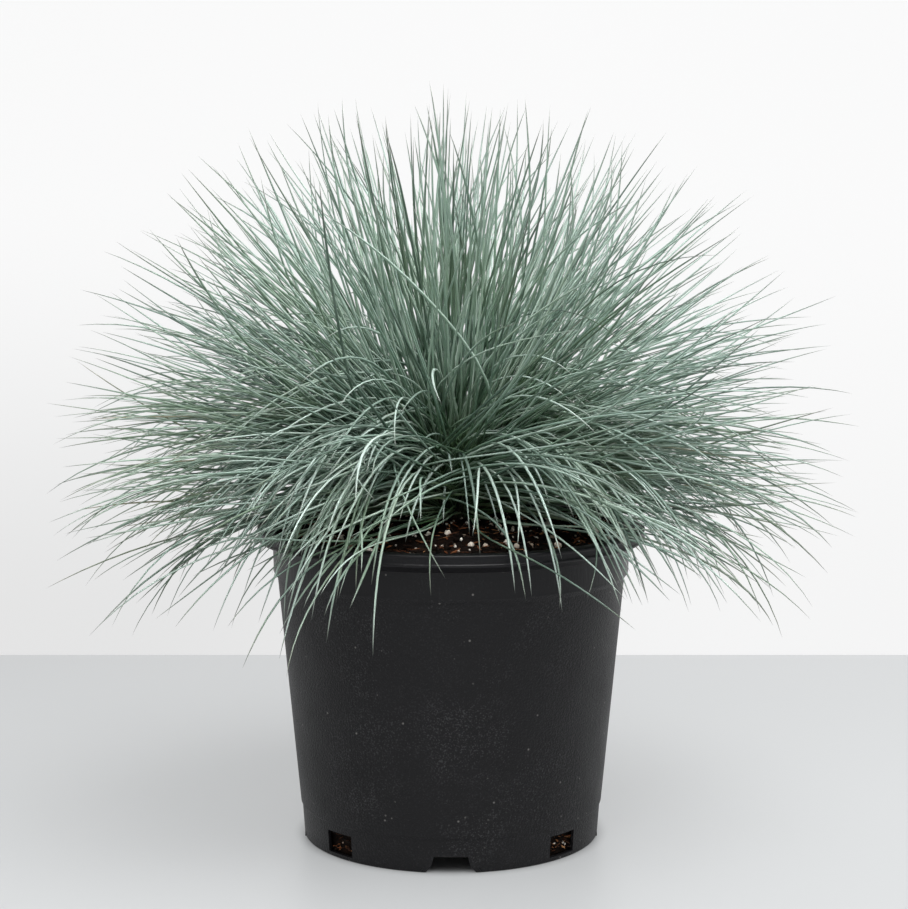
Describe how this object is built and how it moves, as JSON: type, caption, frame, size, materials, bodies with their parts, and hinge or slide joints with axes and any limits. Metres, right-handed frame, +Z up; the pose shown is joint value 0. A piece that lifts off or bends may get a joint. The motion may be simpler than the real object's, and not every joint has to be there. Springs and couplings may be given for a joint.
{
  "type": "potted blue fescue clump",
  "caption": "Domed clump of fine blue-green grass leaves, growing from one crown in a round tapered black nursery pot filled with potting soil.",
  "frame": {"origin": "on the pot's axis, in the plane of its foot, which stands on the ground", "axes": "+Z up along the pot's axis; -Y towards the viewer of the front, which has a foot notch in its middle; +X to the viewer's right"},
  "size_m": [0.346, 0.346, 0.3277],
  "materials": {
    "pot_plastic": "fine-grained satin black, dusty",
    "soil": "dark crumbly bark and peat with white grains",
    "crown": "dull fibrous leaf sheaths",
    "leaf": "waxy blue-green, soft sheen"
  },
  "bodies": {
    "root": {"nursery_pot": "pot_plastic", "potting_soil": "soil", "fescue_crown": "crown", "tuft_01": "leaf", "tuft_02": "leaf", "tuft_03": "leaf", "tuft_04": "leaf", "tuft_05": "leaf", "tuft_06": "leaf", "tuft_07": "leaf", "tuft_08": "leaf", "tuft_09": "leaf", "tuft_10": "leaf", "tuft_11": "leaf", "tuft_12": "leaf", "tuft_13": "leaf", "tuft_14": "leaf", "tuft_15": "leaf", "tuft_16": "leaf", "tuft_17": "leaf", "tuft_18": "leaf", "tuft_19": "leaf", "tuft_20": "leaf", "tuft_21": "leaf", "tuft_22": "leaf", "tuft_23": "leaf", "tuft_24": "leaf", "tuft_25": "leaf", "tuft_26": "leaf", "tuft_27": "leaf", "tuft_28": "leaf", "tuft_29": "leaf", "tuft_30": "leaf", "tuft_31": "leaf", "tuft_32": "leaf", "tuft_33": "leaf", "tuft_34": "leaf", "tuft_35": "leaf", "tuft_36": "leaf", "tuft_37": "leaf", "tuft_38": "leaf", "tuft_39": "leaf", "tuft_40": "leaf", "tuft_41": "leaf", "tuft_42": "leaf", "tuft_43": "leaf", "tuft_44": "leaf", "tuft_45": "leaf", "tuft_46": "leaf"}
  },
  "joints": []
}
